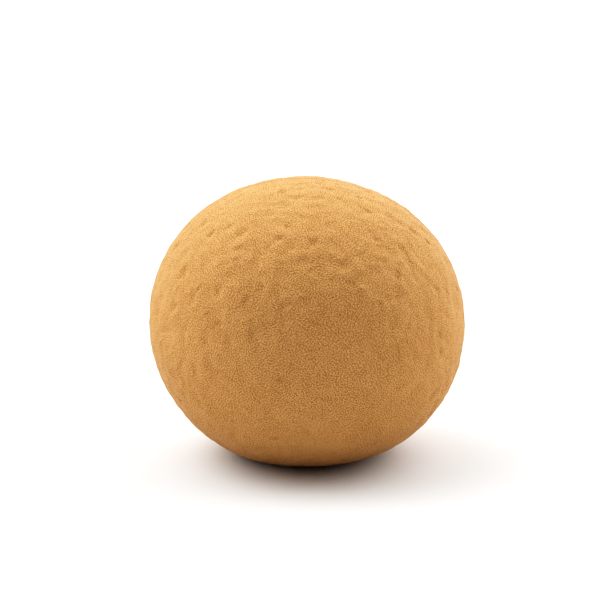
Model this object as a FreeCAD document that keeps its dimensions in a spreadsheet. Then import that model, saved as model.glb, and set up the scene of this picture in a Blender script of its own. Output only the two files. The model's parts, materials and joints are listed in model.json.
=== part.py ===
import FreeCAD, Part
import math
import os
import Sketcher

# A massage ball about the size of a fist: a slightly flattened cork ball that has settled on a
# small flat base. Under its cork skin it is layered. Two moulded half shells of agglomerated cork
# close over a yielding foam cushion, also in two halves, which holds a firm rubber ball at the
# centre. Everything is glued, so nothing moves.
#
# Millimetres. The origin is the centre of the flat base, +Z is up, the seam between the halves is
# the XZ plane, the front half is on the -Y side and the back half on the +Y side.
#
# Seen in the XZ plane, the skin is five tangent arcs round an upright axis and a short flat: one
# shallow crown, two sides and two tighter shoulders that run into the base. Every layer is the same
# outline at its own depth below the skin, so all the arcs of one kind share a centre.

SIZES = {
    # the skin
    "ball_width": 75.0,
    "ball_height": 65.8,
    "crown_radius": 42.0,
    "side_radius": 33.5,
    "base_flat_radius": 12.0,
    # how deep below the skin each face lies
    "skin_depth": 0.0,
    "seam_depth": 0.3,
    "groove_top_depth": 1.85,
    "tongue_top_depth": 2.0,
    "tongue_bottom_depth": 4.0,
    "groove_bottom_depth": 4.15,
    "film_depth": 6.0,
    "cushion_depth": 6.3,
    # the seam
    "seam_gap": 0.2,
    "tongue_length": 1.6,
    "groove_length": 1.75,
    # the core and the pegs that line up the cushion halves
    "core_radius": 15.0,
    "core_height": 32.9,
    "peg_radius": 2.0,
    "peg_length": 3.0,
    "peg_offset": 23.0,
    "socket_radius": 2.1,
    "socket_length": 3.1,
}

HALF_TURN = 180.0
FULL_TURN = 360.0
FRONT = "front"
BACK = "back"

# ends and centre of a sketch curve, and the sketch's own origin and upright axis
START = 1
END = 2
CENTRE = 3
ORIGIN = (-1, 1)
UPRIGHT_AXIS = -2

doc = FreeCAD.newDocument("massage_ball")


# ---------------------------------------------------------------- sizes


def make_sheet():
    """Put every driving dimension in a spreadsheet cell with its own alias."""
    sheet = doc.addObject("Spreadsheet::Sheet", "Sizes")
    for row, (alias, number) in enumerate(SIZES.items(), start=1):
        sheet.set("A%d" % row, alias)
        sheet.set("B%d" % row, str(number))
        sheet.setAlias("B%d" % row, alias)
    doc.recompute()
    return sheet


def size(alias):
    """The number that the sheet holds under an alias."""
    return float(sheet.get(alias))


def arc_centres():
    """Centres of the crown arc, the right side arc and the right shoulder arc."""
    side_x = size("ball_width") / 2 - size("side_radius")
    crown_z = size("ball_height") - size("crown_radius")
    centre_gap = size("crown_radius") - size("side_radius")
    side_z = crown_z + math.sqrt(centre_gap**2 - side_x**2)
    shoulder_x = size("base_flat_radius")
    offset_x = shoulder_x - side_x
    excess = offset_x**2 + side_z**2 - size("side_radius") ** 2
    shoulder_z = excess / (2 * (side_z - size("side_radius")))
    return (0.0, crown_z), (side_x, side_z), (shoulder_x, shoulder_z)


# ---------------------------------------------------------------- sketches


def new_sketch(body, name):
    """A sketch on the seam plane of a body: its x is X and its y is Z."""
    sketch = body.newObject("Sketcher::SketchObject", name)
    planes = [item for item in body.Origin.OriginFeatures if item.Role == "XZ_Plane"]
    sketch.AttachmentSupport = [(planes[0], "")]
    sketch.MapMode = "FlatFace"
    return sketch


def constrain(sketch, *terms):
    """Add a geometric constraint."""
    sketch.addConstraint(Sketcher.Constraint(*terms))


def dimension(sketch, name, formula, *terms):
    """Add a dimension that follows a formula of the sheet."""
    index = sketch.addConstraint(Sketcher.Constraint(*terms))
    sketch.renameConstraint(index, name)
    sketch.setExpression("Constraints." + name, formula)


def add_arc(sketch, centre, radius, start, end):
    """Add an anticlockwise arc between two angles in radians."""
    circle = Part.Circle(FreeCAD.Vector(*centre, 0), FreeCAD.Vector(0, 0, 1), radius)
    return sketch.addGeometry(Part.ArcOfCircle(circle, start, end))


def add_line(sketch, start, end):
    """Add a straight line."""
    segment = Part.LineSegment(FreeCAD.Vector(*start, 0), FreeCAD.Vector(*end, 0))
    return sketch.addGeometry(segment)


def mirrored(point):
    """The same point on the other side of the upright axis."""
    return (-point[0], point[1])


def add_right_flank(sketch, depth):
    """Add the right shoulder and side arcs, in that order, and return both."""
    crown, side, shoulder = arc_centres()
    inset = size(depth)
    shoulder_radius = shoulder[1]
    upper = math.atan2(side[1] - crown[1], side[0])
    lower = math.atan2(shoulder[1] - side[1], shoulder[0] - side[0])
    shoulder_arc = add_arc(sketch, shoulder, shoulder_radius - inset, -math.pi / 2, lower)
    side_arc = add_arc(sketch, side, size("side_radius") - inset, lower, upper)
    return shoulder_arc, side_arc


def add_left_flank(sketch, depth):
    """Add the left side and shoulder arcs, in that order, and return both."""
    crown, side, shoulder = arc_centres()
    inset = size(depth)
    shoulder_radius = shoulder[1]
    upper = math.pi - math.atan2(side[1] - crown[1], side[0])
    lower = math.pi - math.atan2(shoulder[1] - side[1], shoulder[0] - side[0])
    side_arc = add_arc(sketch, mirrored(side), size("side_radius") - inset, upper, lower)
    shoulder_end = math.pi * 3 / 2
    shoulder_arc = add_arc(sketch, mirrored(shoulder), shoulder_radius - inset, lower, shoulder_end)
    return side_arc, shoulder_arc


def add_crown(sketch, depth, end):
    """Add the crown arc, from the right side arc round to an angle."""
    crown, side, _ = arc_centres()
    start = math.atan2(side[1] - crown[1], side[0])
    return add_arc(sketch, crown, size("crown_radius") - size(depth), start, end)


def join_in_tangency(sketch, curves):
    """Join each curve's end to the start of the next, with no corner."""
    for first, second in zip(curves, curves[1:]):
        constrain(sketch, "Tangent", first, END, second, START)


def dimension_crown(sketch, depth, crown_arc):
    """Hold the crown arc's radius and its centre on the upright axis."""
    crown_z = arc_centres()[0][1]
    radius = "Sizes.crown_radius - Sizes." + depth
    number = size("crown_radius") - size(depth)
    constrain(sketch, "PointOnObject", crown_arc, CENTRE, UPRIGHT_AXIS)
    dimension(sketch, depth + "_crown_radius", radius, "Radius", crown_arc, number)
    height = "Sizes.ball_height - Sizes.crown_radius"
    terms = ("DistanceY", *ORIGIN, crown_arc, CENTRE, crown_z)
    dimension(sketch, depth + "_crown_height", height, *terms)


def dimension_flank(sketch, depth, side_arc, shoulder_arc, hand):
    """Hold a side arc's radius and place, and its shoulder arc's place, on one hand."""
    _, side, shoulder = arc_centres()
    radius = "Sizes.side_radius - Sizes." + depth
    number = size("side_radius") - size(depth)
    dimension(sketch, depth + hand + "_side_radius", radius, "Radius", side_arc, number)
    places = (
        ("_side_place", side_arc, side[0], "Sizes.ball_width / 2 - Sizes.side_radius"),
        ("_shoulder_place", shoulder_arc, shoulder[0], "Sizes.base_flat_radius"),
    )
    for label, arc, distance, formula in places:
        ends = (*ORIGIN, arc, CENTRE) if hand == "_right" else (arc, CENTRE, *ORIGIN)
        dimension(sketch, depth + hand + label, formula, "DistanceX", *ends, distance)


def dimension_flat(sketch, depth, flat):
    """Keep the base flat level, at its depth above the floor."""
    constrain(sketch, "Horizontal", flat)
    terms = ("DistanceY", *ORIGIN, flat, START, size(depth))
    dimension(sketch, depth + "_flat_height", "Sizes." + depth, *terms)


def draw_half_outline(sketch, depth):
    """The right half of the outline at a depth below the skin, closed along the axis."""
    shoulder_arc, side_arc = add_right_flank(sketch, depth)
    crown_arc = add_crown(sketch, depth, math.pi / 2)
    top = (0.0, size("ball_height") - size(depth))
    bottom = (0.0, size(depth))
    axis = add_line(sketch, top, bottom)
    flat = add_line(sketch, bottom, (size("base_flat_radius"), size(depth)))
    join_in_tangency(sketch, [flat, shoulder_arc, side_arc, crown_arc])
    constrain(sketch, "Coincident", crown_arc, END, axis, START)
    constrain(sketch, "Coincident", axis, END, flat, START)
    constrain(sketch, "PointOnObject", axis, START, UPRIGHT_AXIS)
    constrain(sketch, "Vertical", axis)
    dimension_crown(sketch, depth, crown_arc)
    dimension_flank(sketch, depth, side_arc, shoulder_arc, "_right")
    dimension_flat(sketch, depth, flat)


def draw_whole_outline(sketch, depth):
    """The whole outline at a depth below the skin."""
    crown, side, _ = arc_centres()
    right_shoulder, right_side = add_right_flank(sketch, depth)
    crown_end = math.pi - math.atan2(side[1] - crown[1], side[0])
    crown_arc = add_crown(sketch, depth, crown_end)
    left_side, left_shoulder = add_left_flank(sketch, depth)
    reach = size("base_flat_radius")
    flat = add_line(sketch, (-reach, size(depth)), (reach, size(depth)))
    loop = [flat, right_shoulder, right_side, crown_arc, left_side, left_shoulder, flat]
    join_in_tangency(sketch, loop)
    dimension_crown(sketch, depth, crown_arc)
    dimension_flank(sketch, depth, right_side, right_shoulder, "_right")
    dimension_flank(sketch, depth, left_side, left_shoulder, "_left")
    dimension_flat(sketch, depth, flat)


def draw_half_core(sketch):
    """The right half of the core's circle, closed along the axis."""
    radius = size("core_radius")
    height = size("core_height")
    arc = add_arc(sketch, (0.0, height), radius, -math.pi / 2, math.pi / 2)
    axis = add_line(sketch, (0.0, height + radius), (0.0, height - radius))
    constrain(sketch, "Coincident", arc, END, axis, START)
    constrain(sketch, "Coincident", axis, END, arc, START)
    constrain(sketch, "PointOnObject", arc, CENTRE, UPRIGHT_AXIS)
    constrain(sketch, "PointOnObject", axis, START, UPRIGHT_AXIS)
    constrain(sketch, "Vertical", axis)
    dimension(sketch, "core_radius", "Sizes.core_radius", "Radius", arc, radius)
    terms = ("DistanceY", *ORIGIN, arc, CENTRE, height)
    dimension(sketch, "core_height", "Sizes.core_height", *terms)


def draw_circle(sketch, name, radius, offset=0):
    """A circle level with the core's centre: on the axis, or a peg's offset left or right of it."""
    centre = FreeCAD.Vector(offset * size("peg_offset"), size("core_height"), 0)
    circle = Part.Circle(centre, FreeCAD.Vector(0, 0, 1), size(radius))
    index = sketch.addGeometry(circle)
    dimension(sketch, name + "_radius", "Sizes." + radius, "Radius", index, size(radius))
    terms = ("DistanceY", *ORIGIN, index, CENTRE, size("core_height"))
    dimension(sketch, name + "_height", "Sizes.core_height", *terms)
    if offset == 0:
        constrain(sketch, "PointOnObject", index, CENTRE, UPRIGHT_AXIS)
        return
    ends = (*ORIGIN, index, CENTRE) if offset > 0 else (index, CENTRE, *ORIGIN)
    terms = ("DistanceX", *ends, size("peg_offset"))
    dimension(sketch, name + "_offset", "Sizes.peg_offset", *terms)


def draw_pegs(sketch, radius):
    """The two circles where the pegs cross the seam plane."""
    draw_circle(sketch, "right_peg", radius, 1)
    draw_circle(sketch, "left_peg", radius, -1)


# ---------------------------------------------------------------- features


def new_body(name):
    """A body that carries the sub-part's name."""
    body = doc.addObject("PartDesign::Body", name)
    body.Label = name
    return body


def place_half(body, half):
    """Set a half off the seam plane by half the glue gap."""
    sign = "-" if half == FRONT else ""
    body.setExpression("Placement.Base.y", sign + "Sizes.seam_gap / 2")


def turn(body, kind, sketch, angle, half=BACK):
    """Revolve a half outline about the upright axis, adding to the body or cutting from it."""
    feature = body.newObject(kind, sketch.Name + "_turn")
    feature.Profile = sketch
    feature.ReferenceAxis = (sketch, ["V_Axis"])
    feature.Angle = angle
    feature.Reversed = half == FRONT
    sketch.Visibility = False
    return feature


def turn_outline(body, kind, depth, half):
    """Revolve the outline at a depth through the half turn of a front or back half."""
    sketch = new_sketch(body, body.Name + "_" + depth)
    draw_half_outline(sketch, depth)
    return turn(body, kind, sketch, HALF_TURN, half)


def pad_forward(body, sketch, length):
    """Raise a sketch from the seam plane towards the front."""
    feature = body.newObject("PartDesign::Pad", sketch.Name + "_pad")
    feature.Profile = sketch
    feature.setExpression("Length", length)
    return feature


def pocket_forward(body, sketch, depth):
    """Cut a sketch from the seam plane towards the front."""
    feature = body.newObject("PartDesign::Pocket", sketch.Name + "_pocket")
    feature.Profile = sketch
    feature.Reversed = True
    feature.setExpression("Length", depth)
    return feature


def ring_sketch(body, name, outer_depth, inner_depth):
    """A sketch of the band between two depths, all the way round the ball."""
    sketch = new_sketch(body, body.Name + "_" + name)
    draw_whole_outline(sketch, outer_depth)
    draw_whole_outline(sketch, inner_depth)
    return sketch


def tongue_sketch(body):
    """The band that the tongue fills, in the middle of the cork wall."""
    return ring_sketch(body, "tongue", "tongue_top_depth", "tongue_bottom_depth")


def groove_sketch(body):
    """The band that the groove takes, wider than the tongue by a film of glue on each side."""
    return ring_sketch(body, "groove", "groove_top_depth", "groove_bottom_depth")


# ---------------------------------------------------------------- sub-parts


def make_cork_shell(half):
    """Half of the cork skin. The back half has a tongue round its rim, and the front a groove."""
    body = new_body("cork_shell_" + half)
    turn_outline(body, "PartDesign::Revolution", "skin_depth", half)
    turn_outline(body, "PartDesign::Groove", "film_depth", half)
    if half == BACK:
        pad_forward(body, tongue_sketch(body), "Sizes.tongue_length + Sizes.seam_gap")
    else:
        pocket_forward(body, groove_sketch(body), "Sizes.groove_length")
    place_half(body, half)
    return body


def make_seam_glue():
    """Glue between the two rims, which also lines the groove round the tongue."""
    body = new_body("seam_glue")
    rim = ring_sketch(body, "rim", "seam_depth", "film_depth")
    pad_forward(body, rim, "Sizes.seam_gap").Midplane = True
    pad_forward(body, groove_sketch(body), "Sizes.groove_length + Sizes.seam_gap / 2")
    reach = "2 * Sizes.tongue_length + Sizes.seam_gap"
    pocket_forward(body, tongue_sketch(body), reach).Midplane = True
    return body


def make_bond_film(half):
    """Film of glue between a cork half shell and the cushion."""
    body = new_body("bond_film_" + half)
    turn_outline(body, "PartDesign::Revolution", "film_depth", half)
    turn_outline(body, "PartDesign::Groove", "cushion_depth", half)
    place_half(body, half)
    return body


def make_cushion(half):
    """Half of the foam cushion, with its half of the core's seat, and its pegs or their sockets."""
    body = new_body("cushion_" + half)
    turn_outline(body, "PartDesign::Revolution", "cushion_depth", half)
    seat = new_sketch(body, body.Name + "_seat")
    draw_half_core(seat)
    turn(body, "PartDesign::Groove", seat, HALF_TURN, half)
    pegs = new_sketch(body, body.Name + "_pegs")
    if half == BACK:
        draw_pegs(pegs, "peg_radius")
        pad_forward(body, pegs, "Sizes.peg_length + Sizes.seam_gap")
    else:
        draw_pegs(pegs, "socket_radius")
        pocket_forward(body, pegs, "Sizes.socket_length")
    place_half(body, half)
    return body


def make_cushion_glue():
    """Flat sheet of glue between the cushion halves, open round the core and the pegs."""
    body = new_body("cushion_glue")
    sketch = new_sketch(body, "cushion_glue_sheet")
    draw_whole_outline(sketch, "film_depth")
    draw_circle(sketch, "core", "core_radius")
    draw_pegs(sketch, "socket_radius")
    pad_forward(body, sketch, "Sizes.seam_gap").Midplane = True
    return body


def make_core_ball():
    """Solid rubber ball at the centre."""
    body = new_body("core_ball")
    sketch = new_sketch(body, "core_ball_half")
    draw_half_core(sketch)
    turn(body, "PartDesign::Revolution", sketch, FULL_TURN)
    return body


def make_sub_parts():
    """Every sub-part of the ball, from the skin inwards."""
    return [
        make_cork_shell(FRONT),
        make_cork_shell(BACK),
        make_seam_glue(),
        make_bond_film(FRONT),
        make_bond_film(BACK),
        make_cushion(FRONT),
        make_cushion(BACK),
        make_cushion_glue(),
        make_core_ball(),
    ]


# ---------------------------------------------------------------- checks and files


def check_objects():
    """Stop if any object of the document failed to compute, or a sketch is loose."""
    for item in doc.Objects:
        faults = [state for state in item.State if state in ("Invalid", "Error")]
        if faults:
            raise RuntimeError("%s is %s" % (item.Label, faults))
        if item.isDerivedFrom("Sketcher::SketchObject") and item.solve() != 0:
            raise RuntimeError("%s does not solve" % item.Label)


def check_solid(body):
    """Stop unless a sub-part is one valid solid."""
    shape = body.Shape
    if shape.isNull() or not shape.isValid():
        raise RuntimeError("%s has no valid shape" % body.Label)
    if len(shape.Solids) != 1:
        raise RuntimeError("%s has %d solids" % (body.Label, len(shape.Solids)))


def report(body):
    """Print a sub-part's volume and box."""
    box = body.Shape.BoundBox
    reach = (box.XMin, box.XMax, box.YMin, box.YMax, box.ZMin, box.ZMax)
    spans = " ".join("%8.3f" % edge for edge in reach)
    print("%-18s %10.1f mm3  box %s" % (body.Label, body.Shape.Volume, spans))


sheet = make_sheet()
sub_parts = make_sub_parts()
doc.recompute()
check_objects()
os.makedirs("parts", exist_ok=True)
for sub_part in sub_parts:
    check_solid(sub_part)
    report(sub_part)
    sub_part.Shape.exportStep("parts/%s.step" % sub_part.Label)
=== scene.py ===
import json
import math
import random

import bpy
import numpy as np
from mathutils import Euler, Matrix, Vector, noise


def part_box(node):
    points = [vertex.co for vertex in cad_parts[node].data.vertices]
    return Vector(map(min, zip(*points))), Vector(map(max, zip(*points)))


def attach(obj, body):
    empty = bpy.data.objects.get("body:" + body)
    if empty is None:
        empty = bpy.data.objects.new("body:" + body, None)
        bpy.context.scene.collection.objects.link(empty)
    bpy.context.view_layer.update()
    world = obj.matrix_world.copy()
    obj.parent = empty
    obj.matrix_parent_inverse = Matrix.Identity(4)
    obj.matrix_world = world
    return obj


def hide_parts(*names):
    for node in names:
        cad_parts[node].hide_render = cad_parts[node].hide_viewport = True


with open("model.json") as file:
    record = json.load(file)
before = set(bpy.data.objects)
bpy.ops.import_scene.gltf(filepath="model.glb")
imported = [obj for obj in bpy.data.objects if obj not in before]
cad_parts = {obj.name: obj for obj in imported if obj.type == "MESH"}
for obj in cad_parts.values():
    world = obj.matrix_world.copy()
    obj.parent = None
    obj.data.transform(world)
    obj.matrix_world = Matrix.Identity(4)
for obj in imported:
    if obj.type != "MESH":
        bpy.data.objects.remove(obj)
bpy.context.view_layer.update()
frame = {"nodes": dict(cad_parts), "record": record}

# A massage ball in a fine-grained cork skin. The CAD nodes of the two cork half shells are replaced
# by dense skins on the same outline, with the dents, pits and grain of pressed cork. The glue, the
# foam cushion and the rubber core keep their CAD shapes and get finished materials.
#
# Metres, +Z up, the origin at the centre of the flat base, -Y towards the camera.

MM = 0.001

# the skin's outline in the XZ plane: tangent arcs for the crown, the sides and the shoulders
CROWN_RADIUS = 42.0 * MM
SIDE_RADIUS = 33.5 * MM
FLAT_RADIUS = 12.0 * MM

# each half stops this far short of the seam plane, for the glue
HALF_GAP = 0.1 * MM

# depths below the skin, and lengths across the seam, of the rim of each half
TONGUE = {"top": 2.0 * MM, "bottom": 4.0 * MM, "reach": 1.6 * MM + 2 * HALF_GAP}
GROOVE = {"top": 1.85 * MM, "bottom": 4.15 * MM, "reach": 1.75 * MM}

# grid of each half skin: segments along a cube edge outside, and how many of them make one inside
SKIN_SEGMENTS = 176
COARSENING = 8

# the smallest distance from the axis that a direction is divided by
ON_AXIS = 1e-12


# ---------------------------------------------------------------- outline of the ball


def node_size(*nodes):
    """Width of the nodes along X and their top, from the CAD."""
    boxes = [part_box(node) for node in nodes]
    width = max(high.x for low, high in boxes) - min(low.x for low, high in boxes)
    return width, max(high.z for low, high in boxes)


SHELLS = {"front": "cork_shell_front", "back": "cork_shell_back"}
BALL_WIDTH, BALL_HEIGHT = node_size(*SHELLS.values())

# the cork ends where the film that bonds it to the cushion begins
INNER_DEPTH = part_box("bond_film_front")[0].z


def arc_centres():
    """Centres (r, z) of the crown, side and shoulder arcs, which all layers share."""
    side_x = BALL_WIDTH / 2 - SIDE_RADIUS
    crown_z = BALL_HEIGHT - CROWN_RADIUS
    side_z = crown_z + math.sqrt((CROWN_RADIUS - SIDE_RADIUS) ** 2 - side_x**2)
    excess = (FLAT_RADIUS - side_x) ** 2 + side_z**2 - SIDE_RADIUS**2
    shoulder_z = excess / (2 * (side_z - SIDE_RADIUS))
    return np.array([[0.0, crown_z], [side_x, side_z], [FLAT_RADIUS, shoulder_z]])


CENTRES = arc_centres()
MIDDLE = CENTRES[1][1]
RADII = np.array([CROWN_RADIUS, SIDE_RADIUS, CENTRES[2][1]])


def join_angles(depth):
    """Elevation angles, seen from the middle, where one arc of a layer meets the next."""
    upper = CENTRES[1] - CENTRES[0]
    lower = CENTRES[2] - CENTRES[1]
    first = CENTRES[1] + (RADII[1] - depth) * upper / np.linalg.norm(upper)
    second = CENTRES[2] + (RADII[2] - depth) * lower / np.linalg.norm(lower)
    third = np.array([FLAT_RADIUS, depth])
    return [math.atan2(point[1] - MIDDLE, point[0]) for point in (first, second, third)]


def layer_points(directions, depth):
    """Points and outward normals of the layer at a depth, along unit directions from the middle."""
    across = np.hypot(directions[:, 0], directions[:, 1])
    rise = directions[:, 2]
    elevation = np.arctan2(rise, across)
    joins = join_angles(depth)
    arc = np.select([elevation >= join for join in joins], [0, 1, 2], default=2)
    centre = CENTRES[arc] - [0.0, MIDDLE]
    radius = RADII[arc] - depth
    along = across * centre[:, 0] + rise * centre[:, 1]
    square = along**2 - (centre**2).sum(axis=1) + radius**2
    reach = along + np.sqrt(np.maximum(square, 0.0))
    on_flat = elevation < joins[2]
    reach[on_flat] = (depth - MIDDLE) / rise[on_flat]
    points = directions * reach[:, None]
    around = directions[:, :2] / np.maximum(across, ON_AXIS)[:, None]
    outward = (across * reach - centre[:, 0]) / radius
    upward = (rise * reach - centre[:, 1]) / radius
    normals = np.column_stack([around * outward[:, None], upward])
    normals[on_flat] = [0.0, 0.0, -1.0]
    points[:, 2] += MIDDLE
    return points, normals


# ---------------------------------------------------------------- relief of the cork

# the skin is drawn in this far at the upper right and lower left, and let out at the other corners
LEAN = 0.29 * MM

# heights over which the relief sets in above the floor
FLOOR_FADE = (0.6 * MM, 4.5 * MM)

# layers of gradient noise that are added up: the size of their features, their height and the
# place in the noise where each is taken
UNEVENNESS = (
    {"size": 17.0 * MM, "height": 0.10 * MM, "offset": 50.0},
    {"size": 5.0 * MM, "height": 0.13 * MM, "offset": 51.0},
    {"size": 2.6 * MM, "height": 0.18 * MM, "offset": 52.0},
    {"size": 1.4 * MM, "height": 0.090 * MM, "offset": 53.0},
    {"size": 0.8 * MM, "height": 0.026 * MM, "offset": 54.0},
)

# irregular hollows: where this noise passes the onset they begin, and at full they are deepest
HOLLOWS = {"size": 4.2 * MM, "depth": 0.18 * MM, "offset": 7.0, "onset": 0.14, "full": 0.56}

# single dents and pits, placed at random: the spacing is the least, and each pair is a range
DENTS = {
    "seed": 3,
    "count": 330,
    "spacing": 4.2 * MM,
    "radius": (1.2 * MM, 2.1 * MM),
    "depth": (0.15 * MM, 0.42 * MM),
}
PITS = {
    "seed": 8,
    "count": 45,
    "spacing": 6.0 * MM,
    "radius": (0.45 * MM, 0.90 * MM),
    "depth": (0.12 * MM, 0.30 * MM),
}

# how many times longer than wide they are, and the tries allowed for finding each a free place
OVAL = (1.0, 1.4)
TRIES_EACH = 12

# how far the edge of a dent or pit strays, and where in the noise its three parts are taken
RAGGED = {"size": 1.3 * MM, "reach": 0.65 * MM, "offsets": (11.0, 23.0, 37.0)}

# near the seam the relief sinks to the share kept, and the very edge is rounded off
SEAM_TRIM = {"width": 2.5 * MM, "kept": 0.30}
EDGE_ROUNDING = {"width": 0.45 * MM, "drop": 0.07 * MM}

NOISE_TILT = Euler((0.6, 0.4, 0.9)).to_matrix()


def smooth_step(value, low, high):
    """0 below low, 1 above high and smooth between."""
    part = np.clip((value - low) / (high - low), 0.0, 1.0)
    return part * part * (3 - 2 * part)


def noise_field(points, size, offset):
    """Gradient noise at each point, with features of about the size given, taken at an offset.

    Its lattice is tilted against the ball's own planes, where a regular pattern would show.
    """
    shift = Vector((offset, 2 * offset, 3 * offset))
    tilted = points @ np.array(NOISE_TILT) / size
    return np.array([noise.noise(Vector(point) + shift) for point in tilted])


def random_direction(rng):
    """A unit direction, as likely to point one way as another."""
    return Vector([rng.gauss(0, 1) for _ in range(3)]).normalized()


def scatter(rng, count, spacing):
    """Unit directions spread at random over the ball, none nearer to another than the spacing."""
    chosen = []
    limit = math.cos(spacing / (BALL_WIDTH / 2))
    for _ in range(count * TRIES_EACH):
        direction = random_direction(rng)
        if all(direction.dot(other) < limit for other in chosen):
            chosen.append(direction)
        if len(chosen) == count:
            break
    return chosen


def hollows(kind):
    """The dents or pits of one kind: direction, way and amount of stretch, radius and depth."""
    rng = random.Random(kind["seed"])
    found = []
    for direction in scatter(rng, kind["count"], kind["spacing"]):
        stretch = direction.cross(random_direction(rng)).normalized()
        radius = rng.uniform(*kind["radius"])
        depth = rng.uniform(*kind["depth"])
        oval = rng.uniform(*OVAL)
        found.append((np.array(direction), np.array(stretch), radius, depth, oval))
    return found


def sink(points, directions, found):
    """Depth of a set of hollows at each point: each is a soft oval bowl with a ragged edge."""
    depths = np.zeros(len(points))
    drift = [noise_field(points, RAGGED["size"], offset) for offset in RAGGED["offsets"]]
    ragged = points + RAGGED["reach"] * np.column_stack(drift)
    for direction, stretch, radius, depth, oval in found:
        widest = (oval * radius + RAGGED["reach"]) / (BALL_HEIGHT / 2)
        near = np.nonzero(directions @ direction > math.cos(widest))[0]
        place, _ = layer_points(direction[None, :], 0.0)
        offset = ragged[near] - place[0]
        along = offset @ stretch
        distance = np.sqrt(np.maximum((offset**2).sum(axis=1) - along**2 * (1 - 1 / oval**2), 0.0))
        bowl = depth * np.clip(1 - (distance / radius) ** 2, 0.0, 1.0) ** 2
        depths[near] = np.maximum(depths[near], bowl)
    return depths


def relief(points, normals, directions, gap_distance):
    """Displaced skin points, and how deep in a dent or pit each one lies, from 0 to 1."""
    rise = np.zeros(len(points))
    for layer in UNEVENNESS:
        rise += layer["height"] * noise_field(points, layer["size"], layer["offset"])
    patches = noise_field(points, HOLLOWS["size"], HOLLOWS["offset"])
    sunk = HOLLOWS["depth"] * smooth_step(patches, HOLLOWS["onset"], HOLLOWS["full"])
    dents = np.maximum(sink(points, directions, hollows(DENTS)), sunk)
    pits = sink(points, directions, hollows(PITS))
    away = smooth_step(gap_distance, 0.0, SEAM_TRIM["width"])
    trimmed = SEAM_TRIM["kept"] + (1 - SEAM_TRIM["kept"]) * away
    lean = 2 * LEAN * directions[:, 0] * directions[:, 2]
    rise = (rise - dents - pits) * trimmed - lean
    rise *= smooth_step(points[:, 2], *FLOOR_FADE)
    rise -= EDGE_ROUNDING["drop"] * (1 - smooth_step(gap_distance, 0.0, EDGE_ROUNDING["width"]))
    moved = points + normals * rise[:, None]
    moved[:, 2] = np.maximum(moved[:, 2], 0.0)
    return moved, dents / DENTS["depth"][1], pits / PITS["depth"][1]


# ---------------------------------------------------------------- half skins


def spread(steps, segments):
    """Steps along a cube edge turned into places on its face, so that the angles come out even."""
    return np.tan((2 * steps / segments - 1) * math.pi / 4)


def cube_lattice(segments):
    """Half of a cube's surface as a lattice: vertex directions, quads and the open edge's loop.

    The half has y > 0. Its open edge lies in the plane y = 0.
    """
    half = segments // 2

    def key(i, j, k):
        """One number for each lattice point."""
        return (i * (segments + 1) + k) * (half + 1) + j

    along, up = np.meshgrid(np.arange(segments + 1), np.arange(segments + 1), indexing="ij")
    side, deep = np.meshgrid(np.arange(segments + 1), np.arange(half + 1), indexing="ij")
    patches = [
        (key(along, half, up), True),
        (key(segments, deep, side), True),
        (key(0, deep, side), False),
        (key(side, deep, segments), False),
        (key(side, deep, 0), True),
    ]
    quads = []
    for grid, flip in patches:
        corners = [grid[:-1, :-1], grid[1:, :-1], grid[1:, 1:], grid[:-1, 1:]]
        quad = np.stack([corner.ravel() for corner in corners], axis=1)
        quads.append(quad[:, ::-1] if flip else quad)
    keys, quads = np.unique(np.vstack(quads), return_inverse=True)
    quads = quads.reshape(-1, 4)
    level, j = np.divmod(keys, half + 1)
    i, k = np.divmod(level, segments + 1)
    places = [spread(i, segments), spread(j + half, segments), spread(k, segments)]
    directions = np.column_stack(places)
    directions /= np.linalg.norm(directions, axis=1)[:, None]
    run = np.arange(segments)
    zero = np.zeros(segments, dtype=int)
    full = zero + segments
    corners = [(run, zero), (full, run), (full - run, full), (zero, full - run)]
    loop_keys = np.concatenate([key(i, 0, k) for i, k in corners])
    return directions, quads, np.searchsorted(keys, loop_keys)


class SkinMesh:
    """Vertices and faces of one half skin, gathered before Blender makes the mesh."""

    def __init__(self, side):
        self.sign = 1.0 if side == "back" else -1.0
        self.points = []
        self.faces = []
        self.total = 0

    def add_points(self, points):
        """Add points of the y > 0 half, turned to this half and set off the seam; return indices."""
        placed = points * [1.0, self.sign, 1.0]
        placed[:, 1] += self.sign * HALF_GAP
        self.points.append(placed)
        first = self.total
        self.total += len(points)
        return np.arange(first, self.total)

    def add_faces(self, faces, flip=False):
        """Add faces given as rows of indices, wound the right way for this half."""
        turned = flip != (self.sign < 0)
        self.faces += [list(face)[::-1] if turned else list(face) for face in faces]

    def bridge(self, outer, inner):
        """Join two closed loops of the same length by a band of quads."""
        following = np.roll(np.arange(len(outer)), -1)
        self.add_faces(np.column_stack([outer, outer[following], inner[following], inner]))

    def bridge_coarser(self, outer, inner):
        """Join a loop to one with fewer points by fans of triangles."""
        ratio = len(outer) // len(inner)
        for start, point in enumerate(inner):
            after = inner[(start + 1) % len(inner)]
            span = [outer[(start * ratio + step) % len(outer)] for step in range(ratio + 1)]
            middle = ratio // 2
            fans = [(span[step], span[step + 1], point) for step in range(middle)]
            fans.append((span[middle], after, point))
            fans += [(span[step], span[step + 1], after) for step in range(middle, ratio)]
            self.add_faces(fans)


def rim_loop(directions, depth, reach):
    """A loop of the rim at a depth below the skin and a distance across the seam."""
    points, _ = layer_points(directions, depth)
    points[:, 1] = reach
    return points


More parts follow.
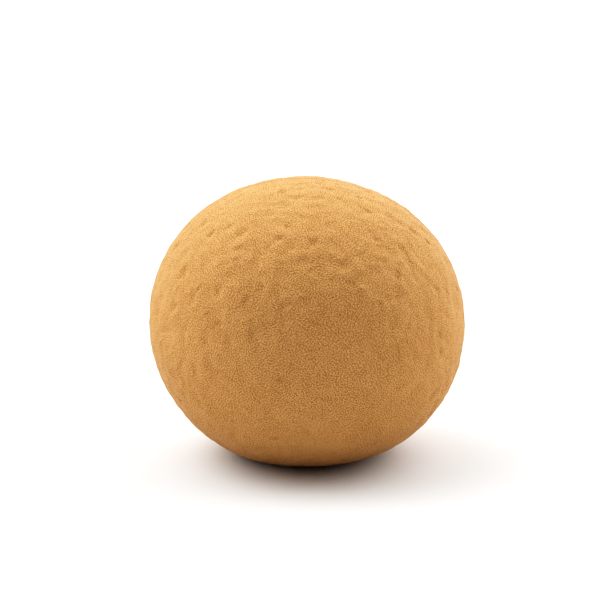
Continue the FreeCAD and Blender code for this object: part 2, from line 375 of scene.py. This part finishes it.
def make_skin(side, rim, material):
    """One half of the cork skin as a closed mesh with its relief, replacing its CAD shell."""
    skin = SkinMesh(side)
    directions, quads, loop = cube_lattice(SKIN_SEGMENTS)
    points, normals = layer_points(directions, 0.0)
    flipped = np.array([1.0, skin.sign, 1.0])
    gap_distance = points[:, 1].copy()
    facing = [points * flipped, normals * flipped, directions * flipped]
    real, dents, pits = relief(*facing, gap_distance)
    outer = skin.add_points(real * flipped)
    skin.add_faces(quads)
    coarse = SKIN_SEGMENTS // COARSENING
    inner_directions, inner_quads, inner_loop = cube_lattice(coarse)
    ring = inner_directions[inner_loop]
    across = rim["reach"] if side == "front" else -rim["reach"]
    loops = [
        skin.add_points(rim_loop(ring, rim["top"], 0.0)),
        skin.add_points(rim_loop(ring, rim["top"], across)),
        skin.add_points(rim_loop(ring, rim["bottom"], across)),
        skin.add_points(rim_loop(ring, rim["bottom"], 0.0)),
    ]
    skin.bridge_coarser(outer[loop], loops[0])
    for first, second in zip(loops, loops[1:]):
        skin.bridge(first, second)
    inner_points, _ = layer_points(inner_directions, INNER_DEPTH)
    inner = skin.add_points(inner_points)
    skin.bridge(loops[-1], inner[inner_loop])
    skin.add_faces(inner_quads + inner[0], flip=True)
    mesh = bpy.data.meshes.new("cork_skin_" + side)
    mesh.from_pydata(np.vstack(skin.points).tolist(), [], skin.faces)
    mesh.update()
    finish_skin(mesh, side, len(quads), dents, pits, material)


def finish_skin(mesh, side, outer_faces, dents, pits, material):
    """Shade the skin smooth outside and flat on its rim, and store the hollows for the material."""
    smooth = np.zeros(len(mesh.polygons), dtype=bool)
    smooth[:outer_faces] = True
    mesh.polygons.foreach_set("use_smooth", smooth)
    for name, depths in (("dent", dents), ("pit", pits)):
        values = np.zeros(len(mesh.vertices), dtype=np.float32)
        values[: len(depths)] = depths
        mesh.attributes.new(name, "FLOAT", "POINT").data.foreach_set("value", values)
    mesh.materials.append(material)
    piece = bpy.data.objects.new(mesh.name, mesh)
    bpy.context.scene.collection.objects.link(piece)
    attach(piece, "root")
    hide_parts(SHELLS[side])


# ---------------------------------------------------------------- materials

# sockets of the mix node when it mixes colours, which share their names with its other sockets
COLOUR_MIX = {"factor": 0, "first": 6, "second": 7, "result": 2}


class Nodes:
    """Short calls that add and join the nodes of one material or of the world."""

    def __init__(self, owner, shader="Principled BSDF", place="Object"):
        owner.use_nodes = True
        self.owner = owner
        self.tree = owner.node_tree
        self.shader = self.tree.nodes[shader]
        self.place = self.add("ShaderNodeTexCoord").outputs[place]

    def add(self, kind, settings=None, **inputs):
        """Add a node, set its properties and its inputs, and return it."""
        node = self.tree.nodes.new(kind)
        for label, value in (settings or {}).items():
            setattr(node, label, value)
        for label, value in inputs.items():
            self.feed(node.inputs[label.replace("_", " ")], value)
        return node

    def feed(self, socket, value):
        """Join an output to a socket, or set the socket's own value."""
        if isinstance(value, bpy.types.NodeSocket):
            self.tree.links.new(value, socket)
        else:
            socket.default_value = value

    def finish(self, **inputs):
        """Set the inputs of the shader and return the material or world."""
        for label, value in inputs.items():
            self.feed(self.shader.inputs[label.replace("_", " ")], value)
        return self.owner

    def noise(self, size, detail=2.0, roughness=0.5, place=None):
        """Noise with features of about a size in metres."""
        return self.add(
            "ShaderNodeTexNoise",
            Vector=place or self.place,
            Scale=1 / size,
            Detail=detail,
            Roughness=roughness,
        ).outputs["Fac"]

    def vector(self, operation, first, second):
        """Combine two vectors, or scale the first by a number."""
        node = self.add("ShaderNodeVectorMath", {"operation": operation})
        self.feed(node.inputs[0], first)
        self.feed(node.inputs["Scale" if operation == "SCALE" else 1], second)
        return node.outputs["Value" if operation == "DOT_PRODUCT" else "Vector"]

    def neighbours(self, step):
        """Places a step away from each point on four sides, along the surface."""
        normal = self.add("ShaderNodeTexCoord").outputs["Normal"]
        across = self.vector("CROSS_PRODUCT", normal, (0.0, 0.0, 1.0))
        across = self.vector("NORMALIZE", across, (0.0, 0.0, 0.0))
        along = self.vector("CROSS_PRODUCT", normal, across)
        sides = ((across, step), (across, -step), (along, step), (along, -step))
        moves = [self.vector("SCALE", side, reach) for side, reach in sides]
        return [self.vector("ADD", self.place, move) for move in moves]

    def cells(self, size):
        """Random grains of about a size: their own colour and the distance from their middle."""
        return self.add("ShaderNodeTexVoronoi", Vector=self.place, Scale=1 / size)

    def remap(self, value, low, high, out_low=0.0, out_high=1.0):
        """Stretch a value from one range to another."""
        return self.add(
            "ShaderNodeMapRange",
            Value=value,
            From_Min=low,
            From_Max=high,
            To_Min=out_low,
            To_Max=out_high,
        ).outputs["Result"]

    def swing(self, value, band):
        """Stretch a band of values into a swing either way about zero."""
        return self.remap(value, band["low"], band["high"], -band["reach"], band["reach"])

    def math(self, operation, first, second):
        """Combine two numbers."""
        node = self.add("ShaderNodeMath", {"operation": operation})
        self.feed(node.inputs[0], first)
        self.feed(node.inputs[1], second)
        return node.outputs["Value"]

    def total(self, values):
        """Add up several numbers."""
        running = values[0]
        for value in values[1:]:
            running = self.math("ADD", running, value)
        return running

    def mix(self, factor, first, second):
        """Mix two colours."""
        node = self.add("ShaderNodeMix", {"data_type": "RGBA"})
        self.feed(node.inputs[COLOUR_MIX["factor"]], factor)
        self.feed(node.inputs[COLOUR_MIX["first"]], first)
        self.feed(node.inputs[COLOUR_MIX["second"]], second)
        return node.outputs[COLOUR_MIX["result"]]

    def bump(self, height, distance, below=None):
        """Bump of a real height in metres, over another bump if there is one."""
        node = self.add("ShaderNodeBump", Height=height, Distance=distance, Strength=1.0)
        if below is not None:
            self.feed(node.inputs["Normal"], below)
        return node.outputs["Normal"]


CORK_MEAN = (0.414, 0.209, 0.0745)
# umber painted into the pits as the shade in them
UMBER_PAINTED_SHADE = (0.130, 0.050, 0.012, 1.0)
GLUE_DARK = (0.30, 0.135, 0.040, 1.0)
GLUE_PALE = (0.42, 0.21, 0.07, 1.0)
FOAM_DARK = (0.50, 0.46, 0.39, 1.0)
FOAM_PALE = (0.62, 0.585, 0.51, 1.0)
RUBBER_BLACK = (0.018, 0.016, 0.015, 1.0)
RUBBER_BLOOM = (0.045, 0.042, 0.040, 1.0)

# how much a grain's tone changes its red, green and blue, and the tones at the two ends
GRAIN_CONTRAST = (0.46, 0.54, 0.74)
END_TONES = (-0.9, 0.9)

# the three scales of the cork's tone: the size of their features, the low and high values that
# are stretched out, and how far these swing the tone; the grain is sharpened by taking off a
# share, its edge, of the same noise a step away on four sides
GRAIN = {
    "size": 0.29 * MM,
    "step": 0.24 * MM,
    "edge": 0.7,
    "low": 0.28,
    "high": 0.72,
    "reach": 1.15,
}
FLAKES = {"size": 1.0 * MM, "low": 0.30, "high": 0.70, "reach": 0.20}
DRIFT = {"size": 10.0 * MM, "low": 0.30, "high": 0.70, "reach": 0.13}

# how far the deepest dent darkens the cork, partly as painted shade and partly as a deeper cork
# tone, and how far umber paints the shade into the deepest pit
DENT_PAINTED_SHADE = 0.06
PIT_PAINTED_SHADE = 0.35

# features of the smallest relief, which is only shaded
CORK_LUMPS = {"size": 0.8 * MM, "height": 0.10 * MM}
CORK_GRAINS = {"size": 0.26 * MM, "height": 0.06 * MM}
GLUE_LUMPS = {"size": 0.7 * MM, "height": 0.04 * MM}
FOAM_CELLS = {"size": 0.6 * MM, "height": 0.12 * MM}
RUBBER_SKIN = {"size": 0.5 * MM, "height": 0.03 * MM}


def cork_tint(strength):
    """The mean colour of the cork made paler or, with a negative strength, deeper."""
    gains = [max(0.0, 1 + strength * contrast) for contrast in GRAIN_CONTRAST]
    tinted = [mean * gain for mean, gain in zip(CORK_MEAN, gains)]
    return (*tinted, 1.0)


def cork_material():
    """Fine-grained pressed cork: sand-fine pale and brown grains, dry and matte, with painted shade
    in its hollows: a little in the dents, partly a deeper cork tone there, and umber in the pits.
    """
    graph = Nodes(bpy.data.materials.new("cork_grain"))
    places = graph.neighbours(GRAIN["step"])
    around = [graph.noise(GRAIN["size"], 0.0, place=place) for place in places]
    edge = GRAIN["edge"] / 2
    blur = graph.remap(graph.total(around), 0.0, len(around), -edge, edge)
    crisp = graph.math("SUBTRACT", graph.noise(GRAIN["size"], 0.0), blur)
    grain = graph.swing(crisp, GRAIN)
    flakes = graph.swing(graph.noise(FLAKES["size"], 2.0), FLAKES)
    drift = graph.swing(graph.noise(DRIFT["size"], 3.0, 0.65), DRIFT)
    tone = graph.remap(graph.total([grain, flakes, drift]), -1.0, 1.0)
    colour = graph.mix(tone, *[cork_tint(end) for end in END_TONES])
    dent = graph.add("ShaderNodeAttribute", {"attribute_name": "dent"}).outputs["Fac"]
    pit = graph.add("ShaderNodeAttribute", {"attribute_name": "pit"}).outputs["Fac"]
    # painted shade, partly a deeper cork tone, darkens the cork in the dents
    colour = graph.mix(graph.math("MULTIPLY", dent, DENT_PAINTED_SHADE), colour, cork_tint(-1.0))
    # umber painted into the pits as the shade that falls in them
    colour = graph.mix(graph.math("MULTIPLY", pit, PIT_PAINTED_SHADE), colour, UMBER_PAINTED_SHADE)
    lumps = graph.bump(graph.noise(CORK_LUMPS["size"], 3.0, 0.65), CORK_LUMPS["height"])
    return graph.finish(
        Base_Color=colour,
        Roughness=graph.remap(grain, -1.0, 1.0, 0.95, 0.80),
        Specular_IOR_Level=0.05,
        Sheen_Weight=0.06,
        Sheen_Roughness=0.3,
        Normal=graph.bump(graph.noise(CORK_GRAINS["size"], 0.0), CORK_GRAINS["height"], lumps),
    )


def glue_material():
    """Dried contact adhesive: matte amber brown, clouded and a little lumpy."""
    graph = Nodes(bpy.data.materials.new("dried_glue"))
    cloud = graph.remap(graph.noise(3.0 * MM, 3.0), 0.35, 0.65)
    return graph.finish(
        Base_Color=graph.mix(cloud, GLUE_DARK, GLUE_PALE),
        Roughness=graph.remap(graph.noise(0.8 * MM), 0.3, 0.7, 0.8, 0.95),
        Specular_IOR_Level=0.05,
        Normal=graph.bump(graph.noise(GLUE_LUMPS["size"], 2.0), GLUE_LUMPS["height"]),
    )


def foam_material():
    """Closed-cell foam: warm grey with fine cells."""
    graph = Nodes(bpy.data.materials.new("closed_cell_foam"))
    cells = graph.cells(FOAM_CELLS["size"])
    tone = graph.add("ShaderNodeSeparateColor", Color=cells.outputs["Color"]).outputs["Red"]
    return graph.finish(
        Base_Color=graph.mix(tone, FOAM_DARK, FOAM_PALE),
        Roughness=graph.remap(graph.noise(2.0 * MM), 0.3, 0.7, 0.75, 0.9),
        Normal=graph.bump(cells.outputs["Distance"], FOAM_CELLS["height"]),
    )


def rubber_material():
    """Solid rubber: near black, with a faint bloom and a moulded satin surface."""
    graph = Nodes(bpy.data.materials.new("core_rubber_satin"))
    bloom = graph.noise(4.0 * MM, 4.0)
    haze = graph.remap(bloom, 0.35, 0.75)
    return graph.finish(
        Base_Color=graph.mix(haze, RUBBER_BLACK, RUBBER_BLOOM),
        Roughness=graph.remap(bloom, 0.3, 0.7, 0.42, 0.6),
        Normal=graph.bump(graph.noise(RUBBER_SKIN["size"], 2.0), RUBBER_SKIN["height"]),
    )


def dress_inside():
    """Give each CAD node that keeps its shape the material that it is made of."""
    finishes = {
        "adhesive": glue_material(),
        "foam": foam_material(),
        "core_rubber": rubber_material(),
    }
    for subpart in frame["record"]["subparts"]:
        finish = finishes.get(subpart["material_slot"])
        if finish:
            node = frame["nodes"][subpart["node"]]
            for slot in node.material_slots:
                slot.material = finish


# ---------------------------------------------------------------- floor, light and camera

FLOOR_SIZE = 6.0
PALE_FLOOR = (0.65, 0.635, 0.62, 1.0)
LOBES = {
    # each soft light of the tent: its direction, how tightly it gathers and its strength
    "above_left": ((-0.7, 0.3, 1.0), 10.0, 12.6),
    "above_right": ((0.7, 0.3, 1.0), 10.0, 6.1),
    "above_behind": ((0.0, 0.7, 1.0), 10.0, 2.0),
    "behind_right": ((1.0, 1.0, 0.2), 3.0, 5.1),
    "behind_left": ((-1.0, 1.0, 0.2), 3.0, 0.8),
    "low_left": ((-1.0, 0.3, 0.0), 3.0, 2.1),
    "low_right": ((1.0, 0.3, 0.0), 3.0, 0.5),
}
AMBIENT = 0.02

# response of the picture: the light that comes out white, its contrast and the points of its curve
FILM = {"white": 1.56, "contrast": 1.32, "points": 14}
CAMERA = {
    "elevation": 13.0,
    "distance": 406 * MM,
    "nearest": 10 * MM,
    "lens": 100.0,
    "aim_above_middle": 2.0 * MM,
}

# the curve that shapes red, green and blue alike, after the three that shape one each
COMBINED_CURVE = 3


def make_floor():
    """A plain pale floor, large enough to fill the view."""
    mesh = bpy.data.meshes.new("floor")
    half = FLOOR_SIZE / 2
    corners = [(-half, -half, 0), (half, -half, 0), (half, half, 0), (-half, half, 0)]
    mesh.from_pydata(corners, [], [(0, 1, 2, 3)])
    graph = Nodes(bpy.data.materials.new("floor_white"))
    mesh.materials.append(graph.finish(Base_Color=PALE_FLOOR, Roughness=0.9))
    floor = bpy.data.objects.new("floor", mesh)
    bpy.context.scene.collection.objects.link(floor)


def make_light():
    """A white light tent: soft light from above, behind and both sides, little from the front."""
    graph = Nodes(bpy.data.worlds.new("light_tent"), "Background", "Generated")
    lights = []
    for direction, gather, strength in LOBES.values():
        facing = graph.vector("DOT_PRODUCT", graph.place, Vector(direction).normalized())
        shaped = graph.math("POWER", graph.math("MAXIMUM", facing, 0.0), gather)
        lights.append(graph.math("MULTIPLY", shaped, strength))
    strength = graph.math("ADD", graph.total(lights), AMBIENT)
    bpy.context.scene.world = graph.finish(Color=(1.0, 1.0, 1.0, 1.0), Strength=strength)


def film(exposure):
    """Response of the picture to light, up to 1: a soft toe and a long shoulder."""
    return 1 - math.exp(-(exposure ** FILM["contrast"]))


def set_film():
    """Give the picture the response of film: bright parts pale and the white floor clears."""
    settings = bpy.context.scene.view_settings
    settings.view_transform = "Standard"
    settings.use_curve_mapping = True
    mapping = settings.curve_mapping
    mapping.extend = "HORIZONTAL"
    mapping.white_level = [FILM["white"]] * 3
    curve = mapping.curves[COMBINED_CURVE]
    for step in range(1, FILM["points"]):
        place = (step / FILM["points"]) ** 2
        curve.points.new(place, film(place * FILM["white"]) / film(FILM["white"]))
    mapping.update()


def make_camera():
    """A camera a little above the ball, looking down at it from the front."""
    data = bpy.data.cameras.new("camera")
    data.lens = CAMERA["lens"]
    data.clip_start = CAMERA["nearest"]
    camera = bpy.data.objects.new("camera", data)
    bpy.context.scene.collection.objects.link(camera)
    elevation = math.radians(CAMERA["elevation"])
    back = Vector((0.0, -math.cos(elevation), math.sin(elevation)))
    centre = Vector((0.0, 0.0, BALL_HEIGHT / 2))
    camera.location = centre + back * CAMERA["distance"]
    aim = centre + Vector((0.0, 0.0, CAMERA["aim_above_middle"]))
    camera.rotation_euler = (aim - camera.location).to_track_quat("-Z", "Y").to_euler()
    bpy.context.scene.camera = camera


cork = cork_material()
make_skin("front", GROOVE, cork)
make_skin("back", TONGUE, cork)
dress_inside()
make_floor()
make_light()
make_camera()
set_film()
